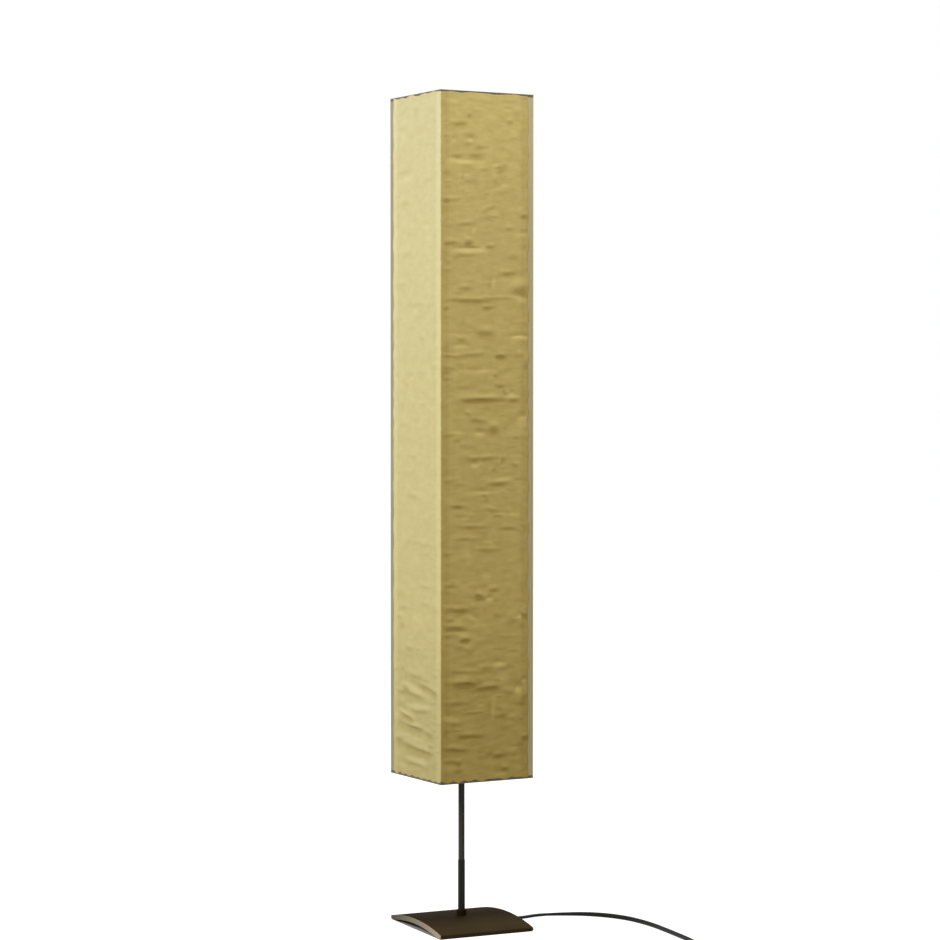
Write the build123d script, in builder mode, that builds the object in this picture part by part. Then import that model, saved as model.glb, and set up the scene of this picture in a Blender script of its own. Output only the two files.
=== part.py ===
from build123d import *

import os
from math import pi, radians, sqrt, tan

# An andon floor lamp: a tall square paper shade on a thin pole, with an arched
# steel base plate. Origin: centre of the footprint, on the floor. +Z is up,
# the arch of the base runs along X and its two feet lie along -Y and +Y.
# All sizes are in millimetres, angles in degrees.

# --- driving sizes: the whole lamp ---
lamp_height = 1180.0
shade_width = 150.0  # outside of the paper
shade_bottom = 215.0
shade_turn = 4.0  # how far the shade stands turned on its pole

# --- base plate ---
base_width = 145.0  # along the arch's axis, X
base_depth = 170.0  # from foot to foot, Y
plate_thickness = 7.0
arch_gap = 7.5  # floor to the underside of the crown
foot_land = 13.0  # flat strip under each foot
edge_break = 0.6
pad_diameter = 9.0
pad_height = 1.0
pad_inset = 10.0  # pad centre to the plate's end, along X

# --- pole ---
pole_diameter = 9.0
pole_bore = 7.0
sleeve_diameter = 10.0  # the short lower tube
sleeve_top = 94.0
pole_joint_height = 640.0
collar_diameter = 14.0
collar_height = 8.0
collar_seat = 4.0  # how deep the lower tube stands in the collar
nipple_bore = 5.0
nipple_reach = 18.0  # how far a nipple goes into each tube
thread_gap = 0.05  # radial, between a threaded piece and its hole
wire_hole = 5.0

# --- fixings under the base ---
washer_diameter = 16.0
washer_thickness = 1.0
nut_flats = 12.0
nut_height = 3.0
nipple_end = 0.4  # nipple showing below its nut

# --- top of the pole ---
cross_recess = 25.0  # underside of the shade's cross, below the rim
shoulder_diameter = 12.0
shoulder_height = 3.0
stud_diameter = 6.0
plug_depth = 15.0
cap_washer_diameter = 16.0
cap_washer_thickness = 1.2
cap_nut_diameter = 14.0
cap_nut_height = 8.0
cap_nut_bore_depth = 5.0
cap_nut_round = 2.0  # rounding of its upper edge
grip_grooves = 24
grip_groove_radius = 0.28
turn_clearance = 0.05  # radial, shade hub and washer on the stud
rest_gap = 0.05  # between faces of pieces that turn on each other

# --- shade frame and paper ---
paper_thickness = 0.5
paper_inset = 1.8  # the rings show this much beyond the paper
seam_margin = 9.0  # paper ends this far from the two seam corners
post_width = 12.0
ring_bar = 8.0
ring_height = 4.0
cross_width = 6.0
cross_thickness = 3.0
hub_diameter = 24.0
hub_thickness = 4.0

# --- bulb holders ---
lower_holder_height = 470.0  # top of each bracket's seat
upper_holder_height = 800.0
holder_offset = 34.0  # pole axis to bulb axis
clamp_diameter = 17.0
clamp_height = 8.0
seat_diameter = 22.0
seat_thickness = 3.0
arm_width = 7.0
set_screw_diameter = 3.0
set_screw_length = 5.0
fit_gap = 0.1  # radial, loose seats
holder_nipple_diameter = 10.0
holder_nipple_bore = 6.5
holder_nipple_rise = 6.0  # above the seat
holder_nipple_drop = 5.0  # below the seat
holder_nut_flats = 14.0
holder_nut_height = 3.0
holder_cap_diameter = 24.0
holder_cap_height = 14.0
holder_wall = 1.8
holder_diameter = 26.0
holder_height = 30.0
socket_floor = 6.0
contact_length = 10.0
contact_width = 5.0
contact_thickness = 1.5

# --- bulbs, small screw cap and candle glass ---
bulb_cap_diameter = 13.9
bulb_cap_height = 22.0
bulb_tip_diameter = 5.0
bulb_tip_height = 3.0
bulb_glass_diameter = 35.0
bulb_glass_height = 76.0
bulb_neck_diameter = 12.6
bulb_glass_wall = 0.9
bulb_belly_share = 0.42  # height of the widest place over the glass height
bulb_shoulder_share = 0.55  # radius at the shoulder over the widest radius
neck_lean = (0.2, 1)  # directions of the glass outline, out and up
shoulder_lean = (-0.45, 1)
tip_lean = (-1, 0.15)
bulb_seat_gap = 0.3
screw_clearance = 0.08  # radial, cap in its socket

# --- flat two-core cord ---
cord_width = 6.6
cord_thickness = 4.0
core_diameter = 2.0
run_share = 0.45  # part of the shorter straight run that each arc of a route takes
core_pitch = 2.3
core_bend = 3.5
core_run = 10.0  # straight inside the cord clamp's inner end
lead_rise = 8.0  # how far the leads rise above a bracket's seat
branch_diameter = 1.6
branch_pitch = 1.8
branch_offset = 2.1  # branch cores beside the main cores in the pole
clamp_start = 30.0  # cord clamp, from the pole axis
clamp_length = 12.0
clamp_width = 26.0
clamp_strap = 1.5
clamp_run = 20.0  # the cord's straight run from the clamp's inner end
clamp_screw_pitch = 18.0
clamp_screw_diameter = 3.0
clamp_screw_length = 9.0
clamp_hole_depth = 6.0  # blind, in the plate
clamp_head_diameter = 5.0
clamp_head_height = 1.2

# --- coil of spare cord ---
coil_x = 20.0
coil_y = -337.0
coil_mid_diameter = 79.0
coil_bundle = 14.0
coil_height = 12.4
coil_edge = 2.0

# --- foot switch on the cord ---
switch_x = 115.0
switch_y = -380.0
switch_length = 70.0
switch_width = 34.0
switch_split = 9.0  # height of the base shell
switch_height = 20.0
switch_wall = 2.0
switch_edge = 3.0
switch_boss_diameter = 6.4
switch_boss_x = 26.0
switch_screw_diameter = 2.9
switch_screw_length = 13.0
switch_head_diameter = 5.2
switch_head_height = 1.6
button_diameter = 18.0
button_clearance = 0.25
button_flange = 1.5
button_flange_height = 1.7
button_travel = 2.5
button_pressed_rise = 1.5  # what stands above the cover when pressed
button_depth = 2.3  # below the flange
spring_radius = 4.0
spring_wire = 0.8
spring_turns = 4.0
boot_length = 16.0
boot_height = 7.0
boot_width = 10.0
boot_tip_height = 5.0
boot_tip_width = 7.8
boot_axis_height = 3.6
boot_corner_share = 0.45  # corner radius over the smaller side
boot_run = 14.0  # the cord's straight run in front of a boot
inlet_run = 24.3  # the same at the switch's inlet, after the cord's last bend

# --- two-pin plug ---
plug_x = -74.0  # rear of the plug body
plug_y = -380.0
plug_thickness = 13.7
plug_width = 26.0
plug_rear_thickness = 9.0
plug_rear_width = 12.0
plug_front_length = 14.0
plug_taper_length = 20.0
plug_edge = 2.0
pin_diameter = 4.0
pin_length = 19.0
pin_spacing = 18.6
pin_tip = 1.4
relief_length = 22.0
relief_run = 12.0  # the cord's straight run in front of the relief

# --- cord routes: floor points chosen by eye, height of the cord's centre last ---
floor_z = cord_thickness / 2
lamp_route = [
    (73.0, 0.8, 3.4),
    (99.0, 3.5, floor_z),
    (129.0, 12.5, floor_z),
    (161.0, 1.5, floor_z),
    (201.0, -21.5, floor_z),
    (231.0, -66.0, floor_z),
    (240.0, -126.0, floor_z),
    (237.0, -188.0, floor_z),
    (233.5, -243.0, floor_z),
    (229.5, -290.0, floor_z),
    (225.5, -324.0, floor_z),
    (221.0, -349.3, floor_z),
    (209.8, -368.8, floor_z),
]
tail_route = [
    (3.0, -380.2, 6.0),
    (-13.0, -380.8, 3.2),
    (-27.0, -380.6, 2.7),
]

# --- worked out from the sizes above ---
half_shade = shade_width / 2
frame_half = half_shade - paper_thickness
post_centre = frame_half - post_width / 2
frame_bottom = shade_bottom
frame_top = lamp_height
cross_bottom = lamp_height - cross_recess
pole_top = cross_bottom - rest_gap - shoulder_height
crown_top = arch_gap + plate_thickness
arch_half = base_depth / 2 - foot_land
arch_rise = arch_gap - pad_height
arch_radius = (arch_half**2 + arch_rise**2) / (2 * arch_rise)
arch_centre = arch_gap - arch_radius
nipple_diameter = pole_bore - 2 * thread_gap
base_hole = nipple_diameter + 2 * fit_gap
floor_seat = (Align.CENTER, Align.CENTER, Align.MIN)


def underside(y):
    """Height of the arch's underside at a distance y from the crown line."""
    return arch_centre + sqrt(arch_radius**2 - y**2)


def topside(y):
    """Height of the plate's upper face at a distance y from the crown line."""
    return arch_centre + sqrt((arch_radius + plate_thickness) ** 2 - y**2)


def shade_level(z):
    """A level plane at height z, turned as the shade stands on its pole."""
    return Plane.XY.offset(z).rotated((0, 0, shade_turn))


def keep(piece, name):
    """Label a finished piece and write its STEP file."""
    piece.part.label = name
    export_step(piece.part, f"parts/{name}.step")


def ring(name, outer, inner, bottom, top, x=0.0):
    """A plain round tube or washer on a vertical axis, kept as a node."""
    with BuildPart() as piece:
        with BuildSketch(Plane((x, 0, bottom))):
            Circle(outer / 2)
            Circle(inner / 2, mode=Mode.SUBTRACT)
        extrude(amount=top - bottom)
    keep(piece, name)


def hex_nut(name, flats, bore, bottom, top, x=0.0):
    """A hexagon nut on a vertical axis, kept as a node."""
    with BuildPart() as piece:
        with BuildSketch(Plane((x, 0, bottom))):
            RegularPolygon(flats / 2, 6, major_radius=False)
            Circle(bore / 2, mode=Mode.SUBTRACT)
        extrude(amount=top - bottom)
    keep(piece, name)


def bend_radii(points):
    """The largest arc that each inner corner of a route allows."""
    radii = []
    for before, here, after in zip(points, points[1:], points[2:]):
        arriving = Vector(*here) - Vector(*before)
        leaving = Vector(*after) - Vector(*here)
        half_turn = radians(arriving.get_angle(leaving)) / 2
        radii.append(run_share * min(arriving.length, leaving.length) / tan(half_turn))
    return radii


def flat_cord(name, points):
    """The flat cord swept along straight runs joined by arcs, lying on its broad side."""
    radii = bend_radii(points)
    with BuildPart() as piece:
        with BuildLine() as route:
            FilletPolyline(*points, radius=radii)
        start = Plane(route.line @ 0, x_dir=(route.line % 0).cross(Vector(0, 0, 1)), z_dir=route.line % 0)
        with BuildSketch(start):
            SlotOverall(cord_width, cord_thickness)
        sweep()
    length = route.wire().length
    section = (cord_width - cord_thickness) * cord_thickness + pi * cord_thickness**2 / 4
    print(name, "length", round(length, 1), "radii", [round(radius) for radius in radii])
    print("  volume over section times length", round(piece.part.volume / section / length, 4))
    keep(piece, name)
    return length


def core(points, diameter, bend):
    """One insulated core along rounded corners."""
    with BuildPart() as piece:
        with BuildLine() as route:
            FilletPolyline(*points, radius=bend)
        with BuildSketch(Plane(route.line @ 0, z_dir=route.line % 0)):
            Circle(diameter / 2)
        sweep()
    return piece.part


os.makedirs("parts", exist_ok=True)

# ---------------------------------------------------------------- base plate
with BuildPart() as base_plate:
    with BuildSketch(Plane.YZ.offset(-base_width / 2)):
        with BuildLine():
            foot = base_depth / 2
            ThreePointArc((-foot, topside(foot)), (0, crown_top), (foot, topside(foot)))
            Line((foot, topside(foot)), (foot, pad_height))
            Line((foot, pad_height), (arch_half, pad_height))
            ThreePointArc((arch_half, pad_height), (0, arch_gap), (-arch_half, pad_height))
            Line((-arch_half, pad_height), (-foot, pad_height))
            Line((-foot, pad_height), (-foot, topside(foot)))
        make_face()
    extrude(amount=base_width)
    upper_face = base_plate.faces().filter_by(GeomType.CYLINDER).sort_by(Axis.Z)[-1]
    chamfer(upper_face.edges(), edge_break)
    with Locations((0, 0, crown_top)):
        Hole(base_hole / 2)
    screw_x = clamp_start + clamp_length / 2
    for side in (-1, 1):
        screw_y = side * clamp_screw_pitch / 2
        hole_mouth = Plane((screw_x, screw_y, arch_gap - pad_height), z_dir=(0, 0, -1))
        with Locations(hole_mouth):
            Hole(clamp_screw_diameter / 2 + thread_gap, depth=clamp_hole_depth)
keep(base_plate, "base_plate")

with BuildPart() as foot_pads:
    pad_x = base_width / 2 - pad_inset
    pad_y = base_depth / 2 - foot_land / 2
    with GridLocations(2 * pad_x, 2 * pad_y, 2, 2):
        Cylinder(pad_diameter / 2, pad_height, align=floor_seat)
keep(foot_pads, "foot_pads")

# ------------------------------------------------- nipple and nut in the base
washer_top = underside(washer_diameter / 2)
washer_bottom = washer_top - washer_thickness
nut_bottom = washer_bottom - nut_height
sleeve_bottom = crown_top + collar_height - collar_seat
ring("base_washer", washer_diameter, base_hole, washer_bottom, washer_top)
hex_nut("base_nut", nut_flats, nipple_diameter + 2 * thread_gap, nut_bottom, washer_bottom)
ring("base_nipple", nipple_diameter, nipple_bore, nut_bottom - nipple_end, sleeve_bottom + nipple_reach)

with BuildPart() as foot_collar:
    with BuildSketch(Plane.XY.offset(crown_top)):
        Circle(collar_diameter / 2)
    extrude(amount=collar_height)
    chamfer(foot_collar.faces().sort_by(Axis.Z)[-1].edges(), edge_break)
    with Locations((0, 0, crown_top + collar_height)):
        CounterBoreHole(base_hole / 2, sleeve_diameter / 2 + thread_gap, collar_seat)
keep(foot_collar, "foot_collar")

# ---------------------------------------------------------------------- pole
lower_exit = lower_holder_height - clamp_height - wire_hole
upper_exit = upper_holder_height - clamp_height - wire_hole


def pole_tube(name, outer, bottom, top, exits=()):
    """A length of pole, with a side hole for each (height, direction along X)."""
    with BuildPart() as tube:
        with BuildSketch(Plane.XY.offset(bottom)):
            Circle(outer / 2)
            Circle(pole_bore / 2, mode=Mode.SUBTRACT)
        extrude(amount=top - bottom)
        for height, way in exits:
            with Locations(Plane((way * outer, 0, height), z_dir=(way, 0, 0))):
                Hole(wire_hole / 2, depth=outer)
    keep(tube, name)


exits = [(lower_exit, 1), (upper_exit, -1)]
middle_exits = [hole for hole in exits if hole[0] < pole_joint_height]
upper_exits = [hole for hole in exits if hole[0] >= pole_joint_height]
pole_tube("pole_lower", sleeve_diameter, sleeve_bottom, sleeve_top)
pole_tube("pole_middle", pole_diameter, sleeve_top, pole_joint_height, middle_exits)
pole_tube("pole_upper", pole_diameter, pole_joint_height, pole_top, upper_exits)
for nipple_name, joint in (("lower_pole_nipple", sleeve_top), ("upper_pole_nipple", pole_joint_height)):
    ring(nipple_name, nipple_diameter, nipple_bore, joint - nipple_reach, joint + nipple_reach)

cap_washer_bottom = cross_bottom + hub_thickness + rest_gap
cap_washer_top = cap_washer_bottom + cap_washer_thickness
cap_nut_bottom = cap_washer_top + rest_gap
with BuildPart() as pole_top_stud:
    with BuildSketch(Plane.XY.offset(pole_top - plug_depth)):
        Circle(nipple_diameter / 2)
    extrude(amount=plug_depth)
    with BuildSketch(Plane.XY.offset(pole_top)):
        Circle(shoulder_diameter / 2)
    extrude(amount=shoulder_height)
    with BuildSketch(Plane.XY.offset(pole_top + shoulder_height)):
        Circle(stud_diameter / 2)
    extrude(amount=cap_nut_bottom + cap_nut_bore_depth - 2 * rest_gap - pole_top - shoulder_height)
    chamfer(pole_top_stud.faces().sort_by(Axis.Z)[-1].edges(), edge_break)
keep(pole_top_stud, "pole_top_stud")

stud_hole = stud_diameter + 2 * turn_clearance
ring("clamp_washer", cap_washer_diameter, stud_hole, cap_washer_bottom, cap_washer_top)

with BuildPart() as cap_nut:
    with BuildSketch(Plane.XY.offset(cap_nut_bottom)):
        Circle(cap_nut_diameter / 2)
    extrude(amount=cap_nut_height)
    fillet(cap_nut.faces().sort_by(Axis.Z)[-1].edges(), cap_nut_round)
    with BuildSketch(Plane.XY.offset(cap_nut_bottom)):
        Circle(stud_hole / 2)
    extrude(amount=cap_nut_bore_depth, mode=Mode.SUBTRACT)
    with BuildSketch(Plane.XY.offset(cap_nut_bottom)):
        with PolarLocations(cap_nut_diameter / 2, grip_grooves):
            Circle(grip_groove_radius)
    extrude(amount=cap_nut_height / 2, mode=Mode.SUBTRACT)
keep(cap_nut, "cap_nut")

# --------------------------------------------------------------- shade frame
post_bottom = frame_bottom + ring_height
post_top = frame_top - ring_height
for ring_name, level in (("bottom_ring", frame_bottom), ("top_ring", post_top)):
    with BuildPart() as square_ring:
        with BuildSketch(shade_level(level)):
            Rectangle(2 * frame_half, 2 * frame_half)
            Rectangle(2 * (frame_half - ring_bar), 2 * (frame_half - ring_bar), mode=Mode.SUBTRACT)
        extrude(amount=ring_height)
    keep(square_ring, ring_name)

post_places = {
    "post_near_left": (-1, -1),
    "post_near_right": (1, -1),
    "post_far_right": (1, 1),
    "post_far_left": (-1, 1),
}
for post_name, (side_x, side_y) in post_places.items():
    with BuildPart() as post:
        with BuildSketch(shade_level(post_bottom)):
            with Locations((side_x * post_centre, side_y * post_centre)):
                Rectangle(post_width, post_width)
        extrude(amount=post_top - post_bottom)
    keep(post, post_name)

with BuildPart() as top_cross:
    with BuildSketch(shade_level(cross_bottom)):
        for diagonal in (45, 135):
            Rectangle(2 * sqrt(2) * post_centre, cross_width, rotation=diagonal)
        with GridLocations(2 * post_centre, 2 * post_centre, 2, 2):
            Rectangle(post_width, post_width, mode=Mode.SUBTRACT)
    extrude(amount=cross_thickness)
    with BuildSketch(Plane.XY.offset(cross_bottom)):
        Circle(hub_diameter / 2)
    extrude(amount=hub_thickness)
    with BuildSketch(Plane.XY.offset(cross_bottom)):
        Circle(stud_hole / 2)
    extrude(amount=hub_thickness, mode=Mode.SUBTRACT)
keep(top_cross, "top_cross")

# --------------------------------------------------------------- shade paper
paper_bottom = shade_bottom + paper_inset
paper_top = lamp_height - paper_inset
paper_end = half_shade - seam_margin
# each sheet wraps one corner, and is parted at that fold into two flat panels
for broad_name, side_name, facing in (("paper_front", "paper_left", 0), ("paper_back", "paper_right", 180)):
    sheet_level = shade_level(paper_bottom).rotated((0, 0, facing))
    with BuildPart() as broad_panel:
        with BuildSketch(sheet_level):
            with Locations((-half_shade, -half_shade)):
                Rectangle(half_shade + paper_end, paper_thickness, align=(Align.MIN, Align.MIN))
        extrude(amount=paper_top - paper_bottom)
    keep(broad_panel, broad_name)
    with BuildPart() as side_panel:
        with BuildSketch(sheet_level):
            with Locations((-half_shade, -frame_half)):
                Rectangle(paper_thickness, frame_half + paper_end, align=(Align.MIN, Align.MIN))
        extrude(amount=paper_top - paper_bottom)
    keep(side_panel, side_name)


# ------------------------------------------------------------ bulb and holder
def bulb_and_holder(level, seat_top, way):
    """One bracket on the pole with its holder and bulb, way = +1 or -1 along X."""
    x = way * holder_offset
    seat_bottom = seat_top - seat_thickness
    nipple_hole = holder_nipple_diameter + 2 * thread_gap

    with BuildPart() as bracket:
        with BuildSketch(Plane.XY.offset(seat_top - clamp_height)):
            Circle(clamp_diameter / 2)
        extrude(amount=clamp_height)
        with BuildSketch(Plane.XY.offset(seat_bottom)):
            with Locations((x / 2, 0)):
                Rectangle(holder_offset, arm_width)
            with Locations((x, 0)):
                Circle(seat_diameter / 2)
        extrude(amount=seat_thickness)
        with BuildSketch(Plane.XY.offset(seat_top - clamp_height)):
            Circle(pole_diameter / 2 + thread_gap)
        extrude(amount=clamp_height, mode=Mode.SUBTRACT)
        with Locations((x, 0, seat_top)):
            Hole(nipple_hole / 2, depth=seat_thickness)
        with Locations(Plane((-way * clamp_diameter, 0, seat_top - clamp_height / 2), z_dir=(-way, 0, 0))):
            Hole(set_screw_diameter / 2 + thread_gap, depth=clamp_diameter)
    keep(bracket, f"{level}_bracket")

    screw_tip = pole_diameter / 2
    with BuildPart() as set_screw:
        with BuildSketch(Plane((-way * screw_tip, 0, seat_top - clamp_height / 2), z_dir=(-way, 0, 0))):
            Circle(set_screw_diameter / 2)
        extrude(amount=set_screw_length)
    keep(set_screw, f"{level}_set_screw")

    ring(
        f"{level}_holder_nipple",
        holder_nipple_diameter,
        holder_nipple_bore,
        seat_bottom - holder_nipple_drop,
        seat_top + holder_nipple_rise,
        x,
    )
    nut_underside = seat_bottom - holder_nut_height
    hex_nut(f"{level}_holder_nut", holder_nut_flats, nipple_hole, nut_underside, seat_bottom, x)

    cap_top = seat_top + holder_cap_height
    with BuildPart() as holder_cap:
        with BuildSketch(Plane((x, 0, seat_top))):
            Circle(holder_cap_diameter / 2)
        extrude(amount=holder_cap_height)
        fillet(holder_cap.faces().sort_by(Axis.Z)[0].edges(), holder_wall)
        with BuildSketch(Plane((x, 0, seat_top + holder_nipple_rise))):
            Circle(holder_cap_diameter / 2 - holder_wall)
        extrude(amount=holder_cap_height - holder_nipple_rise, mode=Mode.SUBTRACT)
        with Locations((x, 0, cap_top)):
            Hole(nipple_hole / 2, depth=holder_cap_height)
    keep(holder_cap, f"{level}_holder_cap")

    spigot = holder_cap_height / 4
    socket_bottom = cap_top + socket_floor
    sleeve_top_height = cap_top + holder_height
    with BuildPart() as holder_sleeve:
        with BuildSketch(Plane((x, 0, cap_top))):
            Circle(holder_diameter / 2)
        extrude(amount=holder_height)
        chamfer(holder_sleeve.faces().sort_by(Axis.Z)[-1].edges(), edge_break)
        with BuildSketch(Plane((x, 0, cap_top - spigot))):
            Circle(holder_cap_diameter / 2 - holder_wall - thread_gap)
        extrude(amount=spigot)
        with BuildSketch(Plane((x, 0, socket_bottom))):
            Circle(bulb_cap_diameter / 2 + screw_clearance)
        extrude(amount=sleeve_top_height - socket_bottom, mode=Mode.SUBTRACT)
    keep(holder_sleeve, f"{level}_holder_sleeve")

    with BuildPart() as contact:
        with BuildSketch(Plane((x, 0, socket_bottom))):
            Rectangle(contact_length, contact_width)
        extrude(amount=contact_thickness)
    keep(contact, f"{level}_holder_contact")

    tip = socket_bottom + contact_thickness + bulb_seat_gap
    cap_start = tip + bulb_tip_height
    cap_end = cap_start + bulb_cap_height
    with BuildPart() as bulb_cap:
        with BuildSketch(Plane((x, 0, tip))):
            Circle(bulb_tip_diameter / 2)
        with BuildSketch(Plane((x, 0, cap_start))):
            Circle(bulb_cap_diameter / 2)
        loft()
        with BuildSketch(Plane((x, 0, cap_start))):
            Circle(bulb_cap_diameter / 2)
        extrude(amount=bulb_cap_height)
    keep(bulb_cap, f"{level}_bulb_cap")

    wide = bulb_glass_diameter / 2
    neck = bulb_neck_diameter / 2
    wall = bulb_glass_wall
    belly = bulb_belly_share * bulb_glass_height
    shoulder = (bulb_glass_height + belly) / 2
    slim = bulb_shoulder_share * wide
    with BuildPart() as bulb_glass:
        with BuildSketch(Plane((x, 0, cap_end), x_dir=(1, 0, 0), z_dir=(0, -1, 0))):
            with BuildLine():
                Spline((neck, 0), (wide, belly), (slim, shoulder), tangents=[neck_lean, shoulder_lean])
                Spline((slim, shoulder), (0, bulb_glass_height), tangents=[shoulder_lean, tip_lean])
                Line((0, bulb_glass_height), (0, bulb_glass_height - wall))
                Spline(
                    (0, bulb_glass_height - wall),
                    (slim - wall, shoulder),
                    tangents=[(-tip_lean[0], -tip_lean[1]), (-shoulder_lean[0], -shoulder_lean[1])],
                )
                Spline(
                    (slim - wall, shoulder),
                    (wide - wall, belly),
                    (neck - wall, 0),
                    tangents=[(-shoulder_lean[0], -shoulder_lean[1]), (-neck_lean[0], -neck_lean[1])],
                )
                Line((neck - wall, 0), (neck, 0))
            make_face()
        revolve(axis=Axis((x, 0, 0), (0, 0, 1)))
    keep(bulb_glass, f"{level}_bulb_glass")


bulb_and_holder("lower", lower_holder_height, 1)
bulb_and_holder("upper", upper_holder_height, -1)

# ------------------------------------------------------- cores inside the pole
cord_in_clamp = underside(cord_width / 2) - fit_gap - cord_thickness / 2
under_nut = (nut_bottom - nipple_end) / 2
main_cores_made = []
branch_cores_made = []
for side in (-1, 1):
    main_y = side * core_pitch / 2
    main_cores_made.append(
        core(
            [
                (clamp_start, main_y, cord_in_clamp),
                (clamp_start - core_run, main_y, cord_in_clamp),
                (nut_flats, main_y, under_nut),
                (0, main_y, under_nut),
                (0, main_y, upper_exit),
                (-holder_offset, main_y, upper_exit),
                (-holder_offset, main_y, upper_holder_height + lead_rise),
            ],
            core_diameter,
            core_bend,
        )
    )
    branch_y = side * branch_pitch / 2
    branch_cores_made.append(
        core(
            [
                (branch_offset, branch_y, lower_exit - nipple_reach),
                (branch_offset, branch_y, lower_exit),
                (holder_offset, branch_y, lower_exit),
                (holder_offset, branch_y, lower_holder_height + lead_rise),
            ],
            branch_diameter,
            core_bend,
        )
    )
with BuildPart() as main_cores:
    for piece in main_cores_made:
        add(piece)
keep(main_cores, "main_cores")
with BuildPart() as branch_cores:
    for piece in branch_cores_made:
        add(piece)
keep(branch_cores, "branch_cores")

# ---------------------------------------------------------- cord clamp (strap)
clamp_top = underside(clamp_width / 2)
strap_bottom = cord_in_clamp - cord_thickness / 2 - fit_gap - clamp_strap
strap_plane = Plane((clamp_start, 0, 0), x_dir=(0, 1, 0), z_dir=(1, 0, 0))
with BuildPart() as cord_clamp:
    with BuildSketch(strap_plane):
        with Locations((0, (clamp_top + strap_bottom) / 2)):
            Rectangle(clamp_width, clamp_top - strap_bottom)
        with Locations((0, (clamp_top + strap_bottom + clamp_strap) / 2)):
            channel = cord_width + 2 * fit_gap
            Rectangle(channel, clamp_top - strap_bottom - clamp_strap, mode=Mode.SUBTRACT)
    extrude(amount=clamp_length)
    fillet(cord_clamp.edges().filter_by(Axis.X).sort_by(Axis.Z)[:2], clamp_strap / 2)
    for side in (-1, 1):
        with Locations(Plane((screw_x, side * clamp_screw_pitch / 2, strap_bottom), z_dir=(0, 0, -1))):
            CounterBoreHole(
                clamp_screw_diameter / 2 + fit_gap,
                clamp_head_diameter / 2 + fit_gap,
                clamp_head_height,
            )
keep(cord_clamp, "cord_clamp")

with BuildPart() as cord_clamp_screws:
    for side in (-1, 1):
        with BuildSketch(Plane((screw_x, side * clamp_screw_pitch / 2, strap_bottom))):
            Circle(clamp_head_diameter / 2)
        extrude(amount=clamp_head_height)
        with BuildSketch(Plane((screw_x, side * clamp_screw_pitch / 2, strap_bottom + clamp_head_height))):
            Circle(clamp_screw_diameter / 2)
        extrude(amount=clamp_screw_length - clamp_head_height)
keep(cord_clamp_screws, "cord_clamp_screws")

# ------------------------------------------------------------------- the cord
inlet_tip = (switch_x + switch_length / 2 + boot_length, switch_y, boot_axis_height)
outlet_tip = (switch_x - switch_length / 2 - boot_length, switch_y, boot_axis_height)
coil_foot = coil_y - coil_mid_diameter / 2 - coil_bundle / 4
relief_tip = (plug_x + relief_length, plug_y, plug_thickness / 2)


def in_front_of(tip, way, run):
    """A point straight in front of a boot's tip, at the tip's own height."""
    return (tip[0] + way * run, tip[1], tip[2])


clamp_end = (clamp_start, 0, cord_in_clamp)
second_layer = floor_z + cord_thickness + fit_gap
lamp_length = flat_cord(
    "cord_to_switch",
    [
        clamp_end,
        in_front_of(clamp_end, 1, clamp_run),
        *lamp_route,
        in_front_of(inlet_tip, 1, inlet_run),
        inlet_tip,
    ],
)
lead_length = flat_cord(
    "cord_to_coil",
    [
        outlet_tip,
        in_front_of(outlet_tip, -1, boot_run),
        (outlet_tip[0] - 2 * boot_run, switch_y, floor_z),
        (coil_x, coil_foot, floor_z),
    ],
)
tail_length = flat_cord(
    "cord_tail",
    [(coil_x, coil_foot, second_layer), *tail_route, in_front_of(relief_tip, 1, relief_run), relief_tip],
)

with BuildPart() as cord_coil:
    with BuildSketch(Plane((coil_x, coil_y, 0))):
        Circle(coil_mid_diameter / 2 + coil_bundle / 2)
        Circle(coil_mid_diameter / 2 - coil_bundle / 2, mode=Mode.SUBTRACT)
    extrude(amount=coil_height)
    fillet(cord_coil.edges().filter_by(GeomType.CIRCLE), coil_edge)
keep(cord_coil, "cord_coil")

# ---------------------------------------------------------------- foot switch
switch_centre = (switch_x, switch_y)
cavity_length = switch_length - 2 * switch_wall
cavity_width = switch_width - 2 * switch_wall
boss_spread = 2 * switch_boss_x
screw_start = switch_wall / 4
with BuildPart() as switch_base:
    with BuildSketch(Plane((*switch_centre, 0))):
        SlotOverall(switch_length, switch_width)
    extrude(amount=switch_split)
    chamfer(switch_base.faces().sort_by(Axis.Z)[0].edges(), edge_break)
    with BuildSketch(Plane((*switch_centre, switch_wall))):
        SlotOverall(cavity_length, cavity_width)
        with GridLocations(boss_spread, 0, 2, 1):
            Circle(switch_boss_diameter / 2, mode=Mode.SUBTRACT)
    extrude(amount=switch_split - switch_wall, mode=Mode.SUBTRACT)
    with Locations(Plane((*switch_centre, 0), z_dir=(0, 0, -1))):
        with GridLocations(boss_spread, 0, 2, 1):
            CounterBoreHole(
                switch_screw_diameter / 2 + fit_gap,
                switch_head_diameter / 2 + fit_gap,
                switch_head_height + screw_start,
            )
keep(switch_base, "switch_base")

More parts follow.
